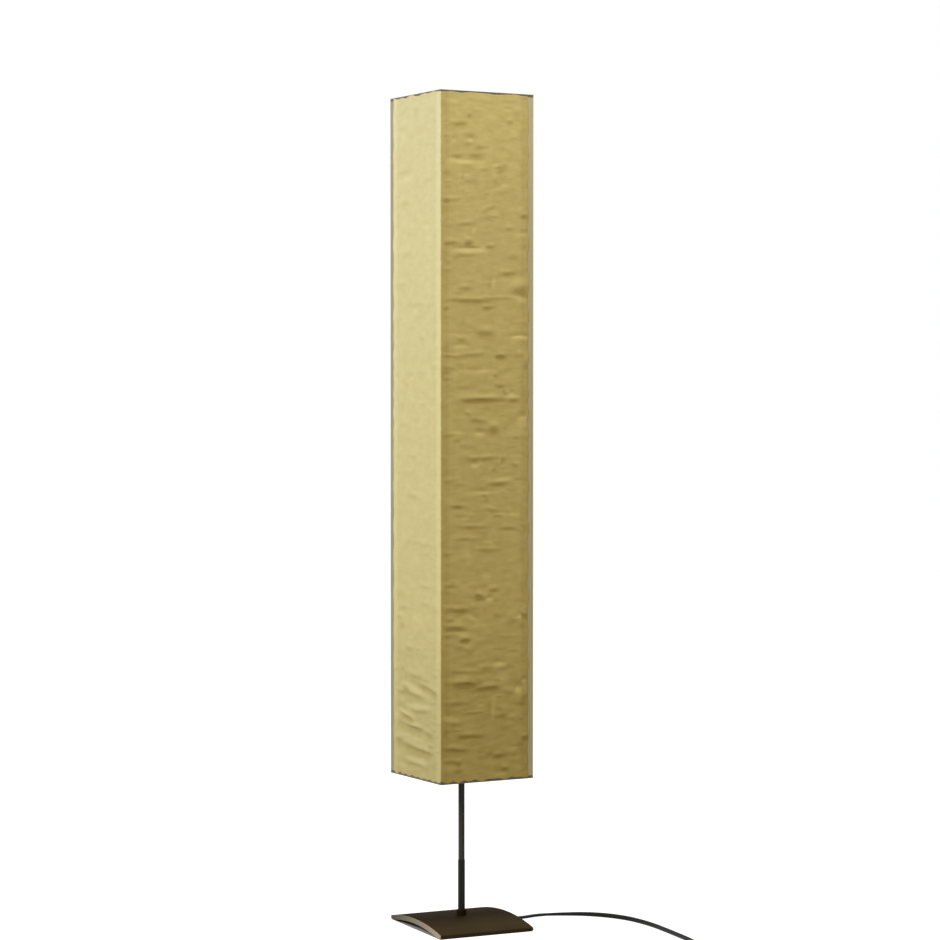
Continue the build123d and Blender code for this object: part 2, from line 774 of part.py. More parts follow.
screw_end = screw_start + switch_head_height + switch_screw_length
with BuildPart() as switch_cover:
    with BuildSketch(Plane((*switch_centre, switch_split))):
        SlotOverall(switch_length, switch_width)
    extrude(amount=switch_height - switch_split)
    fillet(switch_cover.faces().sort_by(Axis.Z)[-1].edges(), switch_edge)
    with BuildSketch(Plane((*switch_centre, switch_split))):
        SlotOverall(cavity_length, cavity_width)
        with GridLocations(boss_spread, 0, 2, 1):
            Circle(switch_boss_diameter / 2, mode=Mode.SUBTRACT)
    extrude(amount=switch_height - switch_wall - switch_split, mode=Mode.SUBTRACT)
    with BuildSketch(Plane((*switch_centre, switch_split))):
        with GridLocations(boss_spread, 0, 2, 1):
            Circle(switch_screw_diameter / 2 + thread_gap)
    extrude(amount=screw_end - switch_split, mode=Mode.SUBTRACT)
    with Locations((*switch_centre, switch_height)):
        Hole(button_diameter / 2 + button_clearance, depth=2 * switch_wall)
keep(switch_cover, "switch_cover")

with BuildPart() as switch_screws:
    with BuildSketch(Plane((*switch_centre, screw_start))):
        with GridLocations(boss_spread, 0, 2, 1):
            Circle(switch_head_diameter / 2)
    extrude(amount=switch_head_height)
    with BuildSketch(Plane((*switch_centre, screw_start + switch_head_height))):
        with GridLocations(boss_spread, 0, 2, 1):
            Circle(switch_screw_diameter / 2)
    extrude(amount=switch_screw_length)
keep(switch_screws, "switch_screws")

flange_top = switch_height - switch_wall - button_clearance
flange_bottom = flange_top - button_flange_height
button_bottom = flange_bottom - button_depth
with BuildPart() as switch_button:
    with BuildSketch(Plane((*switch_centre, button_bottom))):
        Circle(button_diameter / 2)
    extrude(amount=switch_height + button_pressed_rise + button_travel - button_bottom)
    fillet(switch_button.faces().sort_by(Axis.Z)[-1].edges(), switch_edge / 2)
    with BuildSketch(Plane((*switch_centre, flange_bottom))):
        Circle(button_diameter / 2 + button_flange)
    extrude(amount=button_flange_height)
keep(switch_button, "switch_button")

spring_bottom = switch_wall + spring_wire / 2
spring_top = button_bottom - spring_wire / 2 - thread_gap
with BuildPart() as switch_spring:
    with BuildLine() as spring_line:
        spring_height = spring_top - spring_bottom
        spring_foot = (*switch_centre, spring_bottom)
        Helix(spring_height / spring_turns, spring_height, spring_radius, center=spring_foot)
    with BuildSketch(Plane(spring_line.line @ 0, z_dir=spring_line.line % 0)):
        Circle(spring_wire / 2)
    sweep(is_frenet=True)
keep(switch_spring, "switch_spring")


def tapered_boot(back, way, length, back_size, tip_size):
    """A rubber sleeve that tapers from a housing towards the cord, way = +1 or -1 along X."""
    with BuildPart() as boot:
        for place, (width, height) in ((0, back_size), (length, tip_size)):
            face = Plane((back[0] + way * place, back[1], back[2]), x_dir=(0, 1, 0), z_dir=(way, 0, 0))
            with BuildSketch(face):
                RectangleRounded(width, height, boot_corner_share * min(width, height))
        loft()
    return boot.part


boot_back = (boot_width, boot_height)
boot_tip = (boot_tip_width, boot_tip_height)
boots_made = [
    tapered_boot(
        (switch_x + way * switch_length / 2, switch_y, boot_axis_height),
        way,
        boot_length,
        boot_back,
        boot_tip,
    )
    for way in (-1, 1)
]
with BuildPart() as switch_boots:
    for piece in boots_made:
        add(piece)
keep(switch_boots, "switch_boots")

# ----------------------------------------------------------------------- plug
relief_made = tapered_boot((plug_x, plug_y, plug_thickness / 2), 1, relief_length, boot_back, boot_tip)
with BuildPart() as plug_relief:
    add(relief_made)
keep(plug_relief, "plug_relief")

plug_shoulder = plug_x - plug_taper_length
plug_front = plug_shoulder - plug_front_length
with BuildPart() as plug_body:
    for place, width, height in (
        (plug_x, plug_rear_width, plug_rear_thickness),
        (plug_shoulder, plug_width, plug_thickness),
    ):
        with BuildSketch(Plane((place, plug_y, plug_thickness / 2), x_dir=(0, 1, 0), z_dir=(1, 0, 0))):
            RectangleRounded(width, height, plug_edge)
    loft()
    with BuildSketch(Plane((plug_front, plug_y, plug_thickness / 2), x_dir=(0, 1, 0), z_dir=(1, 0, 0))):
        RectangleRounded(plug_width, plug_thickness, plug_edge)
    extrude(amount=plug_front_length)
keep(plug_body, "plug_body")

with BuildPart() as plug_pins:
    pin_foot = Plane((plug_front, plug_y, plug_thickness / 2), x_dir=(0, 1, 0), z_dir=(-1, 0, 0))
    with BuildSketch(pin_foot):
        with GridLocations(pin_spacing, 0, 2, 1):
            Circle(pin_diameter / 2)
    extrude(amount=pin_length)
    fillet(plug_pins.faces().filter_by(GeomType.PLANE).sort_by(Axis.X)[:2].edges(), pin_tip)
keep(plug_pins, "plug_pins")

print("arch radius", round(arch_radius, 1), "pole top", pole_top, "edge height", round(topside(foot), 2))
print("cord in clamp z", round(cord_in_clamp, 2), "nut bottom", round(nut_bottom, 2))
print("lengths", round(lamp_length, 1), round(lead_length, 1), round(tail_length, 1))
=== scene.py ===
# %% [markdown]
# # An andon floor lamp, dressed in Blender
#
# The real lamp is a tall square tube of crinkled paper on a thin pole, with an
# arched steel plate as its foot. The measured model of every part is loaded
# first and stays where it is. This script gives the parts their finishes and
# makes the two things that are soft on a real lamp, the paper and the cord,
# as new surfaces in the same place. One measured part, the spring under the
# button of the foot switch, gets a mesh of its own.

# %% Load the measured model
from math import cos, pi, radians, sin

import bpy
import numpy as np
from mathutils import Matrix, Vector


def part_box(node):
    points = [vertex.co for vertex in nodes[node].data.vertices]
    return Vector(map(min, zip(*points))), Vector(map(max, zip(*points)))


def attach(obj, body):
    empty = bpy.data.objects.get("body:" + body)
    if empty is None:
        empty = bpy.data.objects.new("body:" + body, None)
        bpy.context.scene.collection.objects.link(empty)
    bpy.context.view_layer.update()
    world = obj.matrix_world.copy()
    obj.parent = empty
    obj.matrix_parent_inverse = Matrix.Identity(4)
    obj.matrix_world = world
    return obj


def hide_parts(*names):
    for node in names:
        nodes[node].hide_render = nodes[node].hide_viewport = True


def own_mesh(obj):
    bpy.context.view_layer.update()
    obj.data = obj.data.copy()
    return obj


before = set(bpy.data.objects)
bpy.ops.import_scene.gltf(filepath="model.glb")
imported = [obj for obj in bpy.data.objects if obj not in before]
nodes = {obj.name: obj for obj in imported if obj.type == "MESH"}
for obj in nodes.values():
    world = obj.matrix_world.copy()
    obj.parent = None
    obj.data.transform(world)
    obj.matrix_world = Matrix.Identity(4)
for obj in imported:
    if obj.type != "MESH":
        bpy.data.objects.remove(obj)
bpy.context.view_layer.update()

# %% [markdown]
# ## The camera
#
# A long lens from almost four metres keeps the upright edges of the shade
# nearly parallel, as they look on a lamp seen from across a room. The camera
# stands a little above the middle of the shade and looks slightly down, so
# the plate shows its upper face at a grazing angle.

# %% Place the camera
scene = bpy.context.scene
scene.view_settings.view_transform = "Standard"

camera_data = bpy.data.cameras.new("camera")
camera_data.sensor_width = 36.0
camera_data.lens = 106.0
camera = bpy.data.objects.new("camera", camera_data)
camera.location = (-1.6765, -3.5628, 0.7650)
camera.rotation_euler = (radians(90 - 1.66), 0, radians(-25.377))
scene.collection.objects.link(camera)
scene.camera = camera
print("camera at", tuple(round(x, 2) for x in camera.location))

# %% [markdown]
# ## From numbers to a mesh
#
# Every new piece below starts as a grid of points: rows by columns by three.
# A grid can be written down with a formula in two directions, and numpy works
# it out in one go. The helper here turns such a grid into a mesh of squares.
# A grid may close on itself in one direction, like a tube, and its two open
# ends may be closed with a single face each.


# %% Grid to mesh
def grid_faces(rows, columns, around):
    """Corner numbers of the squares of a grid: each joins a point, its right neighbour and the row above."""
    row, column = np.meshgrid(np.arange(rows - 1), np.arange(columns - (not around)), indexing="ij")
    right = (column + 1) % columns
    corners = [
        row * columns + column,
        row * columns + right,
        (row + 1) * columns + right,
        (row + 1) * columns + column,
    ]
    return np.stack([corner.ravel() for corner in corners], axis=1)


def new_piece(name, points, faces, body):
    """A mesh object at the origin from points and faces, riding on a body of the measured model."""
    mesh = bpy.data.meshes.new(name)
    mesh.from_pydata(points.reshape(-1, 3).tolist(), [], [list(map(int, face)) for face in faces])
    mesh.validate()
    mesh.polygons.foreach_set("use_smooth", np.ones(len(mesh.polygons), dtype=bool))
    piece = bpy.data.objects.new(name, mesh)
    scene.collection.objects.link(piece)
    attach(piece, body)
    return piece


# %% [markdown]
# ## The line of a cord
#
# A flex lies in long lazy bends, because it is springy and heavy for its
# stiffness. A NURBS spline of order three through a handful of points gives
# such a line. Blender can turn the bare spline into a row of points, and the
# flat section of the flex, a slot shape, is then carried along them. Each
# ring is built from the sideways direction of the line and from straight up.
# A flat flex bends easily only across its thin side, so in a level bend it
# stands on its edge, and the rings are turned there.

# %% Cord sizes
cord_width = 0.0066
cord_thickness = 0.004
floor_level = cord_thickness / 2
edge_level = cord_width / 2
section_steps = 10


def spline_points(name, route, steps):
    """Points along an order-three spline whose control points are the route."""
    line = bpy.data.curves.new(name, "CURVE")
    line.dimensions = "3D"
    line.resolution_u = steps
    spline = line.splines.new("NURBS")
    spline.points.add(len(route) - 1)
    for point, place in zip(spline.points, route):
        point.co = (*place, 1.0)
    spline.order_u = 3
    spline.use_endpoint_u = True
    holder = bpy.data.objects.new(name, line)
    scene.collection.objects.link(holder)
    bpy.context.view_layer.update()
    mesh = bpy.data.meshes.new_from_object(holder.evaluated_get(bpy.context.evaluated_depsgraph_get()))
    points = np.empty(3 * len(mesh.vertices))
    mesh.vertices.foreach_get("co", points)
    bpy.data.objects.remove(holder)
    bpy.data.meshes.remove(mesh)
    bpy.data.curves.remove(line)
    return points.reshape(-1, 3)


def slot_section():
    """The outline of the flat flex: two half circles joined by straight lines, as (sideways, up) pairs."""
    turn = np.linspace(-pi / 2, pi / 2, section_steps)
    round_radius = cord_thickness / 2
    half_flat = (cord_width - cord_thickness) / 2
    right = np.stack([half_flat + round_radius * np.cos(turn), round_radius * np.sin(turn)], axis=1)
    return np.concatenate([right, -right])


def flat_cord(name, path, body, turned=0.0):
    """The section at every point of the path: centre + sideways * across + up * high, turned by an angle."""
    along = np.gradient(path, axis=0)
    along /= np.linalg.norm(along, axis=1, keepdims=True)
    sideways = np.cross(along, (0, 0, 1))
    sideways /= np.linalg.norm(sideways, axis=1, keepdims=True)
    up = np.cross(sideways, along)
    across, high = slot_section().T
    turned = np.broadcast_to(turned, len(path))[:, None]
    broad = np.cos(turned) * sideways + np.sin(turned) * up
    thin = np.cos(turned) * up - np.sin(turned) * sideways
    rings = path[:, None] + across[None, :, None] * broad[:, None] + high[None, :, None] * thin[:, None]
    rows, columns = rings.shape[:2]
    faces = [list(face) for face in grid_faces(rows, columns, around=True)]
    faces.append(list(range(columns))[::-1])
    faces.append(list(range((rows - 1) * columns, rows * columns)))
    return new_piece(name, rings, faces, body)


def travelled(path):
    """Distance along a row of points, from nought at the first: the running sum of its straight steps."""
    return np.concatenate([[0.0], np.cumsum(np.linalg.norm(np.diff(path, axis=0), axis=1))])


# %% [markdown]
# ## The flex from the lamp to the foot switch
#
# The flex comes out of its clamp under the arch, drops to the floor, leaves
# by the open end of the arch and swings round to the foot switch in front of
# the lamp. It rises onto its edge in the long bend, and lies flat again
# before the switch.

# %% Cord from the lamp
lamp_route = [
    (0.030, 0.0, 0.00539),
    (0.050, 0.0, 0.00539),
    (0.073, 0.0008, 0.0034),
    (0.099, 0.0035, floor_level),
    (0.129, 0.0125, floor_level),
    (0.161, 0.0015, 0.0025),
    (0.201, -0.0215, 0.0032),
    (0.231, -0.066, edge_level),
    (0.240, -0.126, edge_level),
    (0.237, -0.188, edge_level),
    (0.2335, -0.243, edge_level),
    (0.2295, -0.290, 0.0030),
    (0.2255, -0.324, 0.0023),
    (0.221, -0.3493, floor_level),
    (0.2098, -0.3688, floor_level),
    (0.1903, -0.380, 0.0036),
    (0.166, -0.380, 0.0036),
]
lamp_line = spline_points("lamp_line", lamp_route, 10)
# flat for the first 0.10 m, on its edge from 0.20 to 0.40 m, and flat again from 0.48 m
on_edge = np.interp(travelled(lamp_line), [0.10, 0.20, 0.40, 0.48], [0, 1, 1, 0])
lamp_cord = flat_cord("lamp_cord", lamp_line, "stand", on_edge * pi / 2)
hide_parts("cord_to_switch")
print("cord from the lamp", round(travelled(lamp_line)[-1], 3))

# %% [markdown]
# ## The spare flex, wound into a coil
#
# Spare flex is stored in a neat coil. Its turns are written as one spiral
# whose radius and height change a little earlier on every turn, so that each
# layer climbs over the one below just before it would run into it.

# %% Coil and plug lead
coil_centre = np.array([0.020, -0.337])
outer_radius = 0.043
inner_radius = 0.036
layer = cord_thickness + 0.0001
points_per_turn = 20


def coil_turns():
    """Points of four turns, clockwise from above: angle from the foot, radius and layer from a table."""
    change_degrees = [0, 300, 360, 600, 660, 900, 960, 1200, 1260, 1440]
    radii = [1, 1, 0, 0, 0, 0, 0, 0, 1, 1]
    layers = [0, 0, 0, 0, 1, 1, 2, 2, 1, 1]
    degrees = np.arange(0, 1440 + 1, 360 / points_per_turn)
    share = np.interp(degrees, change_degrees, radii)
    level = np.interp(degrees, change_degrees, layers)
    # control points stand a little outside the circle that the spline draws
    radius = (inner_radius + share * (outer_radius - inner_radius)) / cos(pi / points_per_turn)
    angle = np.radians(-90 - degrees)
    flat = coil_centre + radius[:, None] * np.stack([np.cos(angle), np.sin(angle)], axis=1)
    return np.column_stack([flat, floor_level + level * layer])


plug_route = [
    (0.064, -0.380, 0.0036),
    (0.050, -0.380, 0.0036),
    (0.036, -0.380, floor_level),
    *map(tuple, coil_turns()),
    (0.003, -0.3802, 0.0060),
    (-0.013, -0.3808, 0.0032),
    (-0.027, -0.3806, 0.0027),
    (-0.040, -0.380, 0.00685),
    (-0.052, -0.380, 0.00685),
]
plug_line = spline_points("plug_line", plug_route, 6)
plug_cord = flat_cord("plug_cord", plug_line, "stand")
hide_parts("cord_to_coil", "cord_coil", "cord_tail")
print("cord with coil", round(travelled(plug_line)[-1], 3))

# %% [markdown]
# ## What hangs on the cords
#
# A cord on the floor can be laid another way, and then the switch or the plug
# at its end goes with it.

# %% [markdown]
# ## The crinkle of the paper
#
# Shade paper of this kind is crumpled while damp and dried again, which
# leaves hundreds of short creases that run mostly level. Each crease here is
# one soft fold: a ridge with a groove below it, strongest in the middle of
# its length. Adding many of them to a flat sheet gives the height of the
# paper at every point of a grid. A second sum gives the colour a painted
# shade in the grooves and a fainter painted highlight on the ridges.

# %% Sizes of the paper
shade_turn = radians(4)
face_half = 0.075
paper_end = 0.066
paper_thickness = 0.0005
paper_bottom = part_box("paper_front")[0][2]
paper_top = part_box("paper_front")[1][2]
post_width = 0.012
left_trim = 0.001  # the end on the left face was cut this much shorter
fold_radius = 0.0015
fold_half = fold_radius * pi / 4
sheet_half = paper_end + face_half - fold_radius + fold_half
inner_step = 4  # rows of the outer grid for each row of the plainer inner one

nearest_corner = 0.003
shortest_fold = 0.003
level_share = 0.85  # folds that run nearly level
groove_share = 0.65  # folds that are grooves, the others being ridges
askew_slope = 0.25  # a fold steeper than this is askew, and so shorter and fainter
askew_scale = 0.5
# number on each face, reach, half width, depth and painted shading of each sort of scattered fold
scattered_sorts = (
    (380, 0.006, 0.0016, 0.00008, 0.14),
    (170, 0.010, 0.0027, 0.00030, 0.34),
    (130, 0.011, 0.0050, 0.00050, 0.34),
)


class Crinkle:
    """A growing relief over a grid: height in metres, and painted shading from -1, a highlight on a ridge, to
    1, shade in a groove.
    """

    def __init__(self, along, level):
        self.along, self.level = along, level
        self.height, self.tone = np.zeros_like(along), np.zeros_like(along)
        self.rows = level.mean(axis=1)

    def fold(self, start, end, width, depth, tone, sag=0.0):
        """Add one fold between two points.

        Its height is (1 - t^2)^1.5 along it, and across it a slope times a bell curve. Its painted shading is
        a bell of painted shade just below its line and a fainter painted highlight above. Its line sinks by
        sag * t^2.
        """
        start, end = np.array(start), np.array(end)
        middle, half = (start + end) / 2, (end - start) / 2
        reach = np.linalg.norm(half)
        direction = half / reach
        near = np.abs(self.rows - middle[1]) < 4 * width + abs(half[1]) + abs(sag)
        from_middle = self.along[near] - middle[0], self.level[near] - middle[1]
        lengthwise = from_middle[0] * direction[0] + from_middle[1] * direction[1]
        share = np.clip((lengthwise / reach) ** 2, 0, 1)
        across = (from_middle[1] * direction[0] - from_middle[0] * direction[1] + sag * share) / width
        fade = (1 - share) ** 1.5
        self.height[near] += depth * fade * (across - 0.3) * np.exp(-(across**2))
        # painted shade just below the fold's line, and a fainter painted highlight above it
        groove = np.exp(-((across + 0.5) ** 2))
        ridge = np.exp(-((across - 1.1) ** 2))
        self.tone[near] += tone * fade * (groove - 0.45 * ridge)

    def scatter(self, random, side, count, reach, width, depth, tone):
        """Add random folds over one face, side 1 or -1 of the corner, most of them level and some askew."""
        for _ in range(count):
            middle_along = side * random.uniform(nearest_corner, sheet_half)
            middle = np.array([middle_along, random.uniform(paper_bottom, paper_top)])
            length = random.gamma(3.0, reach / 3)
            slope = random.normal(0, 0.05) if random.random() < level_share else random.normal(0, 0.7)
            scale = askew_scale if abs(slope) > askew_slope else 1.0
            length = length * scale + shortest_fold
            half = length * np.array([cos(slope), sin(slope)])
            strength = random.gamma(2.0, 0.5) * (1.0 if random.random() < groove_share else -0.8)
            # short and askew folds are fainter
            strength *= min(1.0, length / reach) * scale
            thick = width * random.uniform(0.7, 1.5)
            self.fold(middle - half, middle + half, thick, depth * strength, tone * strength)


def soft_noise(along, level, random, waves, length_along, length_over):
    """A gentle random swell: the sum of sine waves of mixed direction and length, about one high."""
    swell = np.zeros_like(along)
    for _ in range(waves):
        wave_along = 2 * pi / (length_along * random.uniform(0.6, 2.0))
        wave_over = 2 * pi / (length_over * random.uniform(0.6, 2.0))
        direction = random.choice([-1, 1])
        phase = random.uniform(0, 2 * pi)
        swell += np.sin(wave_along * along * direction + wave_over * level + phase)
    return swell / np.sqrt(waves / 2)


# %% [markdown]
# The sheet is glued to the frame along its corners and its two rims, so the
# folds fade out there. Each sheet wraps round one upright corner with a small
# radius and stops just short of the next corners, where the posts show.
# One point of a sheet is: the place on the flat path, plus the height of the
# crinkle along the outward direction. The rims were trimmed by hand, so they
# wave a little over the dark rings.


# %% Where a sheet runs
glue_line = 0.0012  # the paper lies quite flat this near to an edge
broad_ease, side_ease = 0.003, 0.010  # how far from there the crinkle takes to reach its full height
rim_ease = 0.010
folds_begin, folds_grow = 0.52, 0.16  # height below which the folds get stronger, and over how far
swell_height = 0.00016
past_post = 0.001
least_height = -0.00015  # over a post the paper can't sink further than this
rim_wave = 0.0009
end_wave, end_limit = 0.0006, 0.0011


def sheet_path(along):
    """Place and outward direction on the bent path: straight, a quarter circle round the corner, straight."""
    bend = np.clip(along, -fold_half, fold_half) / fold_radius
    angle = radians(225) + bend
    outward = np.stack([np.cos(angle), np.sin(angle)], axis=-1)
    run_right = np.clip(along - fold_half, 0, None)
    run_left = np.clip(-along - fold_half, 0, None)
    centre = -face_half + fold_radius
    place = centre + fold_radius * outward + np.stack([run_right, run_left], axis=-1)
    return place, outward


def beside_edge(along):
    """Distance to the nearer edge of a face: the corner that the sheet wraps, or the end of the sheet."""
    end = np.where(along > 0, sheet_half, sheet_half - left_trim)
    return np.minimum(np.abs(along), end - np.abs(along))


def glued(along, level):
    """Nought where the sheet is glued, rising to one over the ease, and low near the two rims."""
    ease = np.where(along > 0, broad_ease, side_ease)
    rim = np.minimum(level - paper_bottom, paper_top - level)
    return np.clip((beside_edge(along) - glue_line) / ease, 0, 1) ** 0.8 * np.clip(0.2 + rim / rim_ease, 0, 1)


def calm(along, level):
    """About one low down, two thirds higher up on the broad face, and a third there on the side face."""
    low = np.clip((folds_begin - level) / folds_grow, 0, 1)
    return np.where(along > 0, 0.66 + 0.44 * low, 0.32 + 0.68 * low)


def crinkled(along, level, random, placed):
    """Height and painted shading of one sheet: scattered folds and a faint swell, then the placed folds."""
    relief = Crinkle(along, level)
    for side in (1, -1):
        for sort in scattered_sorts:
            relief.scatter(random, side, *sort)
    relief.height += swell_height * soft_noise(along, level, random, 24, 0.050, 0.016)
    relief.height *= calm(along, level)
    relief.tone *= calm(along, level)
    for fold in placed:
        relief.fold(*fold)
    fade = glued(along, level)
    over_post = beside_edge(along) < post_width + past_post
    height = np.where(over_post, np.maximum(relief.height, least_height), relief.height)
    return height * fade, relief.tone * (0.3 + 0.7 * fade)


def wavy_rims(along, random):
    """Bottom and top at each place along the sheet: the measured rims moved inwards, plus limited waves."""
    waves = [rim_wave * soft_noise(along, along * 0, random, 10, length, 1.0) for length in (0.022, 0.035)]
    bottom = paper_bottom + np.clip(0.0009 + waves[0], -0.0012, 0.0030)
    top = paper_top - np.clip(np.where(along > 0, 0.0006, 0.0002) + waves[1], -0.0010, 0.0022)
    return bottom, top


# %% [markdown]
# The sheet is a closed shell. Its outer grid has close rows, because the
# creases run level and most are a few millimetres wide. Its inner grid has a
# quarter of the rows, and the cut edges join the two with many-cornered
# faces, so the sheet stays light.

# %% Build one sheet
columns_across = 88
outer_rows = inner_step * 200 + 1
paper_weave = np.linspace(0.06, 1, columns_across // 2) * sheet_half
corner_points = fold_half * np.linspace(-1, 1, 5)
left_weave = paper_weave * (sheet_half - left_trim) / sheet_half
across_sheet = np.concatenate([-left_weave[::-1], corner_points, paper_weave])


def paper_sheet(name, seed, turn, placed):
    """A closed shell from the outer grid, a plainer inner one and the cut edges, turned about the pole."""
    random = np.random.default_rng(seed)
    bottom, top = wavy_rims(across_sheet, random)
    share = np.linspace(0, 1, outer_rows)[:, None]
    level = bottom + share * (top - bottom)
    # the two upright ends were cut by hand as well
    sway = end_wave * soft_noise(level[:, :1] * 0, level[:, :1], random, 12, 1.0, 0.030)
    along = across_sheet * (1 + np.clip(sway, -end_limit, end_limit) / sheet_half)
    height, tone = crinkled(along, level, random, placed)
    inner_rows = slice(None, None, inner_step)
    shifts = range(-inner_step, inner_step + 1)
    lowest = np.minimum.reduce([np.roll(height, shift, axis=0) for shift in shifts])
    inner_height = np.minimum(lowest, 0.0)[inner_rows] - paper_thickness
    spin = np.array([[cos(turn), -sin(turn)], [sin(turn), cos(turn)]])
    grids = []
    for offset, run, high in ((height, along, level), (inner_height, along[inner_rows], level[inner_rows])):
        place, outward = sheet_path(run)
        flat = (place + offset[..., None] * outward) @ spin.T
        grids.append(np.concatenate([flat, high[..., None]], axis=-1))
    rows, columns = height.shape
    outer_number = np.arange(rows * columns).reshape(rows, columns)
    inner_number = rows * columns + np.arange(inner_height.size).reshape(-1, columns)
    faces = [list(face) for face in grid_faces(rows, columns, around=False)]
    inner_faces = grid_faces(len(inner_number), columns, around=False) + rows * columns
    faces += [list(face[::-1]) for face in inner_faces]
    for k in range(columns - 1):
        outer_low, outer_high = outer_number[[0, -1], k : k + 2]
        inner_low, inner_high = inner_number[[0, -1], k : k + 2]
        faces.append([*outer_low[::-1], *inner_low])
        faces.append([*outer_high, *inner_high[::-1]])
    for k in range(len(inner_number) - 1):
        run = outer_number[k * inner_step : (k + 1) * inner_step + 1]
        faces.append([*run[:, 0], inner_number[k + 1, 0], inner_number[k, 0]])
        faces.append([*run[::-1, -1], inner_number[k, -1], inner_number[k + 1, -1]])
    points = np.concatenate([grid.reshape(-1, 3) for grid in grids])
    sheet = new_piece(name, points, faces, "shade")
    left_side = np.clip(0.5 - across_sheet / fold_half, 0, 1)
    backed = np.clip((post_width - beside_edge(across_sheet)) / 0.002 + 0.5, 0, 1)
    # the crinkle mark carries the painted shade and highlight of the creases
    marks = {"crinkle": (tone, tone[inner_rows] * 0)}
    for mark, share in (("left_face", left_side), ("backed", backed)):
        marks[mark] = [np.broadcast_to(share, grid.shape) for grid in (height, inner_height)]
    for mark, values in marks.items():
        attribute = sheet.data.attributes.new(mark, "FLOAT", "POINT")
        attribute.data.foreach_set("value", np.concatenate([value.ravel() for value in values]))
    print(name, "stands between", round(height.min() * 1000, 2), "and", round(height.max() * 1000, 2), "mm")
    return sheet
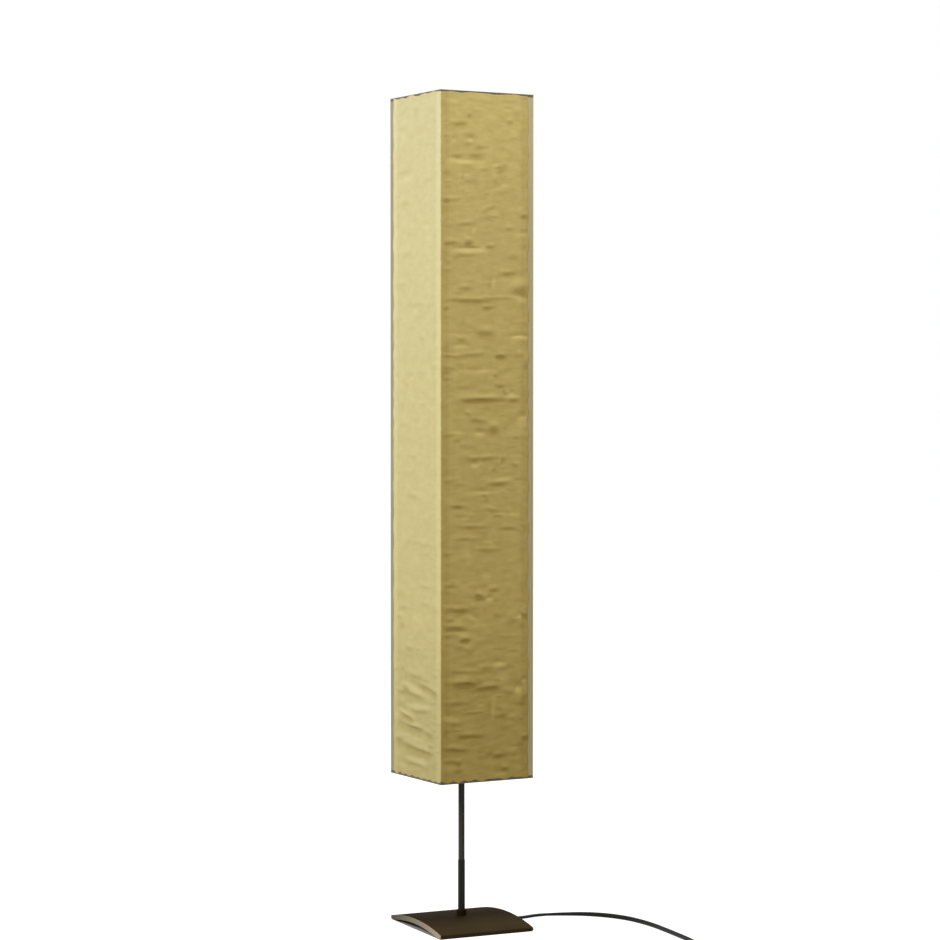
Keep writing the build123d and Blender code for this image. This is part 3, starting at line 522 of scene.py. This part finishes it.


# %% [markdown]
# Some folds are large enough to be seen from across the room, and these are
# placed one by one. A place on the sheet is two numbers: how far along it,
# counted from the corner that it wraps, plus on the broad front face and
# minus on the left one, and the height from the floor. The front face has
# short folds of six kinds, nearly all level. A kind is a half width, a depth
# and a painted shading, and the last two are below nought where the fold
# faces up to the light and gets a painted highlight.

# %% Folds of the front face
fold_kinds = {
    "deepest": (0.0040, 0.0011, 0.95),
    "deep": (0.0036, 0.0008, 0.76),
    "plain": (0.0031, 0.00042, 0.50),
    "faint": (0.0027, 0.00028, 0.36),
    "lit": (0.0031, -0.0004, -0.40),
    "bright": (0.0037, -0.0006, -0.70),
}
front_places = {
    "deepest": [
        (0.010, 0.751, 0.121, 0.752),
        (0.047, 0.346, 0.101, 0.349),
    ],
    "deep": [
        (0.000, 0.969, 0.034, 0.970),
        (0.000, 0.890, 0.095, 0.890),
        (0.105, 0.751, 0.130, 0.751),
        (0.068, 0.633, 0.116, 0.635),
        (0.052, 0.480, 0.074, 0.473),
        (0.000, 0.459, 0.053, 0.457),
        (0.000, 0.434, 0.045, 0.433),
        (0.000, 0.357, 0.074, 0.352),
        (0.017, 0.283, 0.078, 0.279),
        (0.000, 0.265, 0.053, 0.261),
        (0.000, 0.248, 0.037, 0.245),
        (0.094, 0.233, 0.113, 0.232),
    ],
    "plain": [
        (0.041, 1.147, 0.050, 1.148),
        (0.011, 1.134, 0.046, 1.136),
        (0.104, 1.140, 0.117, 1.141),
        (0.033, 1.107, 0.054, 1.108),
        (0.040, 1.091, 0.073, 1.092),
        (0.002, 1.028, 0.033, 1.030),
        (0.061, 1.013, 0.089, 1.022),
        (0.020, 0.995, 0.061, 0.997),
        (0.101, 0.991, 0.118, 0.991),
        (0.018, 0.952, 0.070, 0.954),
        (0.086, 0.928, 0.125, 0.929),
        (0.023, 0.907, 0.055, 0.907),
        (0.061, 0.880, 0.092, 0.881),
        (0.002, 0.879, 0.015, 0.879),
        (0.022, 0.835, 0.042, 0.835),
        (0.021, 0.813, 0.072, 0.815),
        (0.000, 0.780, 0.022, 0.781),
        (0.081, 0.785, 0.093, 0.785),
        (0.083, 0.772, 0.106, 0.770),
        (0.100, 0.768, 0.108, 0.754),
        (0.035, 0.734, 0.052, 0.729),
        (0.043, 0.725, 0.078, 0.720),
        (0.018, 0.695, 0.034, 0.695),
        (0.035, 0.669, 0.092, 0.669),
        (0.096, 0.660, 0.099, 0.672),
        (0.081, 0.648, 0.085, 0.658),
        (0.111, 0.663, 0.128, 0.656),
        (0.011, 0.603, 0.046, 0.602),
        (0.064, 0.601, 0.095, 0.594),
        (0.015, 0.574, 0.093, 0.573),
        (0.091, 0.571, 0.130, 0.570),
        (0.013, 0.558, 0.071, 0.556),
        (0.045, 0.542, 0.105, 0.540),
        (0.000, 0.373, 0.084, 0.369),
        (0.000, 0.329, 0.056, 0.326),
        (0.006, 0.300, 0.038, 0.298),
        (0.080, 0.253, 0.109, 0.250),
        (0.017, 0.234, 0.039, 0.232),
    ],
    "faint": [
        (0.050, 1.102, 0.082, 1.104),
        (0.015, 1.089, 0.035, 1.090),
        (0.058, 1.072, 0.081, 1.073),
        (0.033, 1.055, 0.034, 1.069),
        (0.084, 1.067, 0.105, 1.073),
        (0.095, 0.893, 0.124, 0.894),
        (0.085, 0.811, 0.102, 0.811),
        (0.111, 0.698, 0.128, 0.698),
        (-0.000, 0.493, 0.028, 0.492),
        (0.131, 0.457, 0.144, 0.457),
        (0.076, 0.419, 0.146, 0.416),
        (0.116, 0.324, 0.146, 0.322),
    ],
    "lit": [
        (0.015, 1.111, 0.026, 1.112),
        (0.042, 1.113, 0.053, 1.113),
        (0.015, 1.081, 0.078, 1.083),
        (0.078, 1.079, 0.101, 1.080),
        (0.047, 0.983, 0.055, 0.991),
        (0.117, 0.983, 0.145, 0.984),
        (0.081, 0.902, 0.084, 0.926),
        (0.120, 0.892, 0.145, 0.892),
        (0.013, 0.825, 0.051, 0.826),
        (0.019, 0.804, 0.047, 0.805),
        (0.013, 0.788, 0.031, 0.788),
        (0.024, 0.791, 0.091, 0.792),
        (0.109, 0.760, 0.119, 0.760),
        (0.017, 0.705, 0.042, 0.705),
        (0.032, 0.622, 0.099, 0.621),
        (0.007, 0.487, 0.030, 0.486),
        (0.040, 0.455, 0.061, 0.440),
        (0.006, 0.427, 0.060, 0.425),
        (0.057, 0.380, 0.073, 0.379),
        (0.081, 0.298, 0.083, 0.339),
    ],
    "bright": [
        (0.051, 0.704, 0.073, 0.704),
        (0.045, 0.660, 0.063, 0.660),
        (0.071, 0.472, 0.085, 0.472),
        (0.122, 0.448, 0.132, 0.448),
        (0.080, 0.381, 0.109, 0.380),
        (0.129, 0.355, 0.140, 0.355),
    ],
}
front_folds = [
    ((start, low), (end, high), *fold_kinds[kind])
    for kind, places in front_places.items()
    for start, low, end, high in places
]
print("folds of the front face", len(front_folds))

# %% [markdown]
# The left face is smooth above, and slumps into long curved folds near its
# foot, with light bands between them. Each has its own half width, depth and
# painted shading, and some have a sag: how far the two ends hang below the
# middle. The depth and the shading of a light band are below nought: a
# painted highlight.

# %% Folds of the left face
left_folds = [
    ((-0.118, 0.3655), (-0.002, 0.3500), 0.0068, 0.0026, 0.39, 0.005),
    ((-0.080, 0.3505), (-0.001, 0.3400), 0.0053, 0.0032, 1.03, 0.003),
    ((-0.118, 0.3365), (-0.048, 0.3315), 0.0042, 0.0022, 0.70),
    ((-0.134, 0.3090), (-0.068, 0.2945), 0.0043, 0.0032, 1.09),
    ((-0.135, 0.2915), (-0.015, 0.2825), 0.0045, 0.0026, 0.51),
    ((-0.092, 0.3092), (-0.022, 0.3140), 0.0042, 0.0019, 0.65, -0.001),
    ((-0.052, 0.2822), (-0.018, 0.2790), 0.0039, 0.0019, 0.77),
    ((-0.130, 0.2625), (-0.008, 0.2520), 0.0050, 0.0032, 0.96, -0.002),
    ((-0.040, 0.2655), (-0.018, 0.2645), 0.0033, 0.0015, 0.58),
    ((-0.120, 0.2380), (-0.030, 0.2330), 0.0042, 0.0017, 0.39),
    ((-0.126, 0.3520), (-0.020, 0.3385), 0.0050, -0.0006, -0.75, 0.004),
    ((-0.136, 0.3130), (-0.090, 0.3030), 0.0040, -0.0008, -0.85),
    ((-0.110, 0.3210), (-0.010, 0.3215), 0.0046, -0.0006, -0.60, 0.003),
    ((-0.136, 0.2800), (-0.030, 0.2700), 0.0046, -0.0006, -0.60),
    ((-0.126, 0.2470), (-0.020, 0.2410), 0.0044, -0.0005, -0.50),
    ((-0.130, 0.3900), (-0.060, 0.3930), 0.0045, 0.0007, 0.24, 0.002),
    ((-0.132, 0.4545), (-0.076, 0.4565), 0.0038, 0.0008, 0.37, 0.004),
    ((-0.066, 0.4890), (-0.024, 0.4878), 0.0032, 0.0007, 0.31),
    ((-0.120, 0.5520), (-0.008, 0.5450), 0.0038, 0.0007, 0.31),
    ((-0.108, 0.6180), (-0.052, 0.6120), 0.0041, 0.0007, 0.34, 0.003),
    ((-0.105, 0.6720), (-0.066, 0.6700), 0.0032, 0.0006, 0.27),
    ((-0.115, 0.7880), (-0.030, 0.7850), 0.0038, 0.0004, 0.14),
    ((-0.110, 0.8860), (-0.006, 0.8840), 0.0041, 0.0007, 0.31),
]
print("folds of the left face", len(left_folds))

# %% [markdown]
# The sheet round the far corner is seen less, and every other fold of the
# near one, mirrored, is enough for it.

# %% Both sheets
placed_folds = front_folds + left_folds
back_folds = [((-start[0], start[1]), (-end[0], end[1]), *kind) for start, end, *kind in placed_folds[::2]]

paper_front = paper_sheet("paper_front_sheet", 11, shade_turn, placed_folds)
paper_back = paper_sheet("paper_back_sheet", 23, shade_turn + pi, back_folds)
for sheet, broad_panel, side_panel in (
    (paper_front, "paper_front", "paper_left"),
    (paper_back, "paper_back", "paper_right"),
):
    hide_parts(broad_panel, side_panel)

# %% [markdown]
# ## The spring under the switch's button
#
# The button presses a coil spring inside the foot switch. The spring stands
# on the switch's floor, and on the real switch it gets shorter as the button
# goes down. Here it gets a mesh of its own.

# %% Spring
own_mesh(nodes["switch_spring"])

# %% [markdown]
# ## Writing finishes as arithmetic
#
# A shader is a chain of small sums. This class wraps the output socket of a
# node so that the sums can be typed as ordinary expressions, and each
# operator adds the Math node that does it.


# %% Arithmetic on sockets
class Number:
    """An output socket that can be added, multiplied and compared like a number."""

    def __init__(self, finish, socket):
        self.finish = finish
        self.socket = socket

    def maths(self, operation, first, second, clamp=False):
        settings = {"operation": operation, "use_clamp": clamp}
        return self.finish.node("ShaderNodeMath", settings, {0: first, 1: second})

    def __add__(self, other):
        return self.maths("ADD", self, other)

    __radd__ = __add__

    def __sub__(self, other):
        return self.maths("SUBTRACT", self, other)

    def __rsub__(self, other):
        return self.maths("SUBTRACT", other, self)

    def __mul__(self, other):
        return self.maths("MULTIPLY", self, other)

    __rmul__ = __mul__

    def __abs__(self):
        return self.finish.node("ShaderNodeMath", {"operation": "ABSOLUTE"}, {0: self})

    def __gt__(self, other):
        return self.maths("GREATER_THAN", self, other)

    def __lt__(self, other):
        return self.maths("LESS_THAN", self, other)

    def clamped(self):
        """The same number, kept between nought and one."""
        return self.maths("ADD", self, 0.0, clamp=True)


class Finish:
    """One material. Sockets that are the same all over are set once; node() adds anything that varies."""

    def __init__(self, name, **settings):
        self.material = bpy.data.materials.new(name)
        self.material.use_nodes = True
        self.tree = self.material.node_tree
        self.surface = self.tree.nodes["Principled BSDF"]
        for socket, value in settings.items():
            self.surface.inputs[socket.replace("_", " ")].default_value = value

    def node(self, kind, settings=None, inputs=None, output=0):
        """Add a node: its own settings first, then a value or a link for each socket."""
        made = self.tree.nodes.new(kind)
        for name, value in (settings or {}).items():
            setattr(made, name, value)
        for socket, value in (inputs or {}).items():
            self.feed(made.inputs[socket], value)
        return Number(self, made.outputs[output])

    def feed(self, socket, value):
        """Link a Number to a socket, or set the socket's own value."""
        if isinstance(value, Number):
            self.tree.links.new(value.socket, socket)
        else:
            socket.default_value = value

    def where(self, scale=(1, 1, 1)):
        """Place on the piece in metres, stretched by a scale."""
        spot = self.node("ShaderNodeTexCoord", output="Object")
        return self.node("ShaderNodeMapping", inputs={"Vector": spot, "Scale": scale})

    def noise(self, size, detail=3.0, stretch=(1, 1, 1)):
        """Soft random pattern from nought to one with blotches of about a size in metres."""
        inputs = {"Vector": self.where(stretch), "Scale": 1 / size, "Detail": detail}
        return self.node("ShaderNodeTexNoise", inputs=inputs)

    def place(self, axis):
        """One coordinate of the place on the piece, in metres: 0 across, 1 along, 2 up."""
        return self.node("ShaderNodeSeparateXYZ", inputs={"Vector": self.where()}, output=axis)

    def blend(self, share, low, high, way="MIX"):
        """A colour between two colours, or the first times the second where the way is MULTIPLY."""
        settings = {"data_type": "RGBA", "blend_type": way}
        return self.node("ShaderNodeMix", settings, {0: share, 6: low, 7: high}, output=2)

    def bump(self, height, distance):
        """Let a pattern stand up by a distance in metres and feed it to the surface."""
        made = self.node("ShaderNodeBump", inputs={"Height": height, "Distance": distance, "Strength": 1.0})
        self.feed(self.surface.inputs["Normal"], made)

    def paint(self, **inputs):
        """Feed values or Numbers to sockets of the surface, by name."""
        for socket, value in inputs.items():
            self.feed(self.surface.inputs[socket.replace("_", " ")], value)


def dress(finish, *names):
    """Give the finish to pieces of the measured model by name, or to new pieces."""
    for name in names:
        piece = nodes[name] if isinstance(name, str) else name
        if not piece.material_slots:
            piece.data.materials.append(finish.material)
        for place in piece.material_slots:
            place.material = finish.material


# %% [markdown]
# ## Paper
#
# The paper is a warm straw yellow, matt, with painted shade in the grooves
# and a painted highlight on the ridges, from the crinkle attribute of the
# mesh. Finer creases than the mesh can hold come from noise that is stretched
# sideways. The side faces get a paler, less yellow copy of the colour, a
# painted light. Where a post stands behind it, the paper has painted shade on
# the broad faces and a painted highlight on the side ones. Towards the floor
# it gets painted shade: a little yellower, and darker at its foot.

# %% Paper finish
paper = Finish("crinkled_paper", Roughness=0.85, Specular_IOR_Level=0.25)
crinkle, left_face, backed = (
    paper.node("ShaderNodeAttribute", {"attribute_name": mark}, output="Fac")
    for mark in ("crinkle", "left_face", "backed")
)
fibres = paper.noise(0.005, 3.0, (0.35, 0.35, 1.3))
blotches = paper.noise(0.018, 2.0, (1, 1, 1.6))
# painted light along the posts: painted shade on the broad faces, a painted highlight on the side faces
painted_light_along_posts = backed * (0.16 - left_face * 0.44)
# share of the darker colour: painted crease shade and highlight, random fibre and blotches, painted light
# along the posts
groove = (crinkle * 0.80 + (fibres - 0.5) * 0.14 + (blotches - 0.5) * 0.50 + painted_light_along_posts + 0.45).clamped()
broad_colour = paper.blend(groove, (0.751, 0.605, 0.230, 1), (0.391, 0.285, 0.075, 1))
# the side faces get a paler, less yellow copy of the paper: painted light
side_face_painted_light = paper.blend(groove, (0.694, 0.630, 0.352, 1), (0.494, 0.430, 0.202, 1))
# painted shade, yellower towards the floor: one at the foot of the shade, and nearly nought at its top
painted_shade_towards_floor = (1 - (paper.place(2) - 0.20) * 1.02).clamped()
# painted shade near the foot: one there, a quarter less on the side faces, and nought from 0.44 m up
painted_shade_near_foot = ((0.44 - paper.place(2)) * 6.5).clamped() * (1 - left_face * 0.25)
paper_colour = paper.blend(left_face, broad_colour, side_face_painted_light)
paper_colour = paper.blend(painted_shade_towards_floor, paper_colour, (1.0, 0.94, 0.74, 1), "MULTIPLY")
paper.paint(Base_Color=paper.blend(painted_shade_near_foot, paper_colour, (0.85, 0.84, 0.83, 1), "MULTIPLY"))
paper.bump(paper.noise(0.0035, 2.0, (0.35, 0.35, 1.2)), 0.00014)
dress(paper, paper_front, paper_back)
print("paper on", paper_front.name, "and", paper_back.name)

# %% [markdown]
# ## Metal and wood
#
# The plate has a dark brown bronze finish that is slightly uneven. It gets
# a painted shadow of the paper shade from a little behind its front edge up
# to the crown and stays dark behind it, and its two cut ends are partly bare
# metal with a painted highlight, brightest at the front. The collar has the
# same finish. The pole is nearly black, and its lower tube blacker still. The
# posts of the shade are wood with an upright grain, one of them in a paler
# copy that is painted light, between dark brown rings. What is bare metal on
# such a lamp is zinc, brass or nickel.

# %% Metal and wood finishes
end_band = 0.0006  # the cut end's colour reaches this far in from the end face
lower_tube_top = 0.0945
bronze = Finish("dark_bronze", Specular_IOR_Level=0.01, Specular_Tint=(0.55, 0.38, 0.18, 1))
across_plate = abs(bronze.place(0))
plate_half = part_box("base_plate")[1]
cut_end = across_plate > plate_half[0] - end_band
# painted highlight on the cut ends: one near the front foot of the arch, and nought near its back foot
towards_front = ((0.078 - bronze.place(1)) * 6.6).clamped()
# the cut ends are partly bare metal, and their colour is mostly a painted highlight
cut_end_painted_highlight = bronze.blend(towards_front, (0.110, 0.112, 0.075, 1), (0.44, 0.37, 0.29, 1))
cloud = bronze.noise(0.045, 3.0)
plate_colour = bronze.blend(cloud, (0.043, 0.0285, 0.0115, 1), (0.059, 0.0395, 0.0162, 1))
# painted shadow of the paper shade: nought up to 60 mm in front of the crown, and one from 10 mm in front of
# it
painted_shadow_to_crown = ((bronze.place(1) + 0.060) * 20).clamped()
plate_colour = bronze.blend(painted_shadow_to_crown, plate_colour, (0.38, 0.36, 0.29, 1), "MULTIPLY")
bronze.paint(
    Base_Color=bronze.blend(cut_end, plate_colour, cut_end_painted_highlight),
    Metallic=cut_end * 0.3,
    Roughness=0.70 - cut_end * 0.25,
)
dress(bronze, "base_plate", "foot_collar")

pole_black = Finish("pole_black", Specular_IOR_Level=0.10)
lower_tube = pole_black.place(2) < lower_tube_top
pole_black.paint(
    Base_Color=pole_black.blend(lower_tube, (0.052, 0.050, 0.041, 1), (0.019, 0.019, 0.015, 1)),
    Roughness=pole_black.noise(0.012) * 0.12 + 0.46,
)
dress(pole_black, "pole_lower", "pole_middle", "pole_upper", "cap_nut")

# the posts share one wood, in a darker and a paler copy: painted shade and painted light
frame_brown = Finish("frame_brown", Roughness=0.6)
grain = frame_brown.noise(0.006, 4.0, (1, 1, 0.06))
frame_brown.paint(Base_Color=frame_brown.blend(grain, (0.250, 0.222, 0.118, 1), (0.335, 0.300, 0.165, 1)))
dress(frame_brown, "post_near_left", "post_far_right", "post_far_left")
# the paler copy for one post: painted light
frame_painted_light = Finish("frame_painted_light", Roughness=0.6)
pale_grain = frame_painted_light.noise(0.006, 4.0, (1, 1, 0.06))
frame_painted_light.paint(Base_Color=frame_painted_light.blend(pale_grain, (0.425, 0.362, 0.186, 1), (0.530, 0.455, 0.240, 1)))
dress(frame_painted_light, "post_near_right")
ring_brown = Finish("ring_brown", Base_Color=(0.115, 0.095, 0.056, 1), Roughness=0.6)
dress(ring_brown, "top_ring", "bottom_ring", "top_cross")

zinc = Finish("zinc", Base_Color=(0.42, 0.42, 0.41, 1), Metallic=1.0)
zinc.paint(Roughness=zinc.noise(0.004) * 0.2 + 0.28)
dress(
    zinc,
    "base_washer",
    "base_nut",
    "base_nipple",
    "lower_pole_nipple",
    "upper_pole_nipple",
    "pole_top_stud",
    "clamp_washer",
    "cord_clamp_screws",
    "switch_screws",
    "switch_spring",
)
for level in ("lower", "upper"):
    dress(zinc, f"{level}_bracket", f"{level}_set_screw", f"{level}_holder_nipple", f"{level}_holder_nut")
brass = Finish("brass", Base_Color=(0.72, 0.53, 0.22, 1), Metallic=1.0, Roughness=0.3)
dress(brass, "lower_holder_contact", "upper_holder_contact")
nickel = Finish("nickel", Base_Color=(0.46, 0.45, 0.42, 1), Metallic=1.0, Roughness=0.25)
dress(nickel, "lower_bulb_cap", "upper_bulb_cap", "plug_pins")
print("finishes with the paper, metal and wood", len(bpy.data.materials))

# %% [markdown]
# ## Plastic, rubber and glass
#
# The moulded parts share one black plastic with a fine grain. The foot pads,
# the boots and the plug's relief are matt rubber, and the sheath of the cord
# is blacker than both and shines less than the plastic. The bulbs are opal
# glass.

# %% Plastics and glass
moulded = Finish("black_plastic", Base_Color=(0.022, 0.022, 0.022, 1), Roughness=0.5)
moulded.bump(moulded.noise(0.0012, 2.0), 0.00004)
for level in ("lower", "upper"):
    dress(moulded, f"{level}_holder_cap", f"{level}_holder_sleeve")
dress(moulded, "switch_base", "switch_cover", "switch_button", "plug_body", "cord_clamp")
rubber = Finish("black_rubber", Base_Color=(0.018, 0.018, 0.018, 1), Roughness=0.75)
dress(rubber, "foot_pads", "switch_boots", "plug_relief")
sheath = Finish("cord_sheath", Base_Color=(0.011, 0.011, 0.011, 1), Roughness=0.55, Specular_IOR_Level=0.15)
dress(sheath, lamp_cord, plug_cord)
insulation = Finish("core_insulation", Base_Color=(0.72, 0.70, 0.66, 1), Roughness=0.4)
dress(insulation, "main_cores", "branch_cores")
opal = Finish("opal_glass", Base_Color=(0.88, 0.87, 0.84, 1), Roughness=0.18)
dress(opal, "lower_bulb_glass", "upper_bulb_glass")
print("finishes with the plastics and glass", len(bpy.data.materials))

# %% [markdown]
# ## Floor, air and lamps
#
# The floor and the air behind it are plain white to the eye. A Light Path
# node tells the eye's rays apart from the light that falls on the lamp, so
# the background can be white while the lamp is lit gently. The floor glows
# for the eye, but not under the plate, so the gap below the arch stays dark.
# Light is kept off the floor by the lamp as by any other object, but the glow
# is so near to white that no shadow can be seen beside the plate.

# %% Floor and background
floor_glow = 0.9
light_of_air, white_air = 0.29, 1.0  # what the air sheds on the lamp, and what is seen of it
floor_mesh = bpy.data.meshes.new("floor")
floor_mesh.from_pydata([(-6, -6, 0), (6, -6, 0), (6, 6, 0), (-6, 6, 0)], [], [(0, 1, 2, 3)])
floor = bpy.data.objects.new("floor", floor_mesh)
scene.collection.objects.link(floor)


def seen_directly(tree):
    """One for rays that are seen: straight from the eye, by a mirror or through glass."""
    rays = tree.nodes.new("ShaderNodeLightPath")
    total = rays.outputs["Is Camera Ray"]
    for name in ("Is Glossy Ray", "Is Transmission Ray"):
        add = tree.nodes.new("ShaderNodeMath")
        add.operation = "MAXIMUM"
        tree.links.new(total, add.inputs[0])
        tree.links.new(rays.outputs[name], add.inputs[1])
        total = add.outputs[0]
    return total


floor_finish = Finish("pale_floor", Base_Color=(0.50, 0.49, 0.47, 1), Roughness=0.9, Specular_IOR_Level=0.0)
floor_finish.surface.inputs["Emission Color"].default_value = (1, 1, 1, 1)
floor_across, floor_along = (abs(floor_finish.place(axis)) for axis in (0, 1))
under_plate = (floor_across < plate_half[0]) * (floor_along < plate_half[1])
seen = Number(floor_finish, seen_directly(floor_finish.tree))
floor_finish.paint(Emission_Strength=seen * (1 - under_plate) * floor_glow)
dress(floor_finish, floor)

world = bpy.data.worlds.new("air")
scene.world = world
world.use_nodes = True
air = world.node_tree.nodes["Background"]
air.inputs["Color"].default_value = (1, 1, 1, 1)
brightness = world.node_tree.nodes.new("ShaderNodeMix")
world.node_tree.links.new(seen_directly(world.node_tree), brightness.inputs[0])
brightness.inputs[2].default_value = light_of_air
brightness.inputs[3].default_value = white_air
world.node_tree.links.new(brightness.outputs[0], air.inputs["Strength"])
print("the air sheds", light_of_air, "and is seen at", white_air)


# %% [markdown]
# Three soft lamps make the form readable. The key lamp stands on the left,
# higher than the shade's top, so the left face is bright and its folds show
# lower down, where the light comes more from above. The second lamp hangs
# high in front and grazes the broad face, and the third fills in from behind.


# %% Lamps
def soft_lamp(name, place, aim, width, height, power):
    """A rectangular lamp at a place, turned to face the aim."""
    data = bpy.data.lights.new(name, "AREA")
    data.shape = "RECTANGLE"
    data.size, data.size_y = width, height
    data.energy = power
    lamp = bpy.data.objects.new(name, data)
    lamp.location = place
    lamp.rotation_euler = (Vector(aim) - Vector(place)).to_track_quat("-Z", "Y").to_euler()
    scene.collection.objects.link(lamp)


soft_lamp("key", (-1.7, -0.1, 1.4), (0, 0, 0.75), 0.9, 0.7, 25.5)
soft_lamp("top_front", (0.25, -1.1, 2.0), (0, 0, 0.7), 0.6, 0.5, 14)
soft_lamp("back_fill", (1.5, 1.6, 1.6), (0, 0, 0.7), 1.0, 0.8, 12)

print("lamps", len(bpy.data.lights))
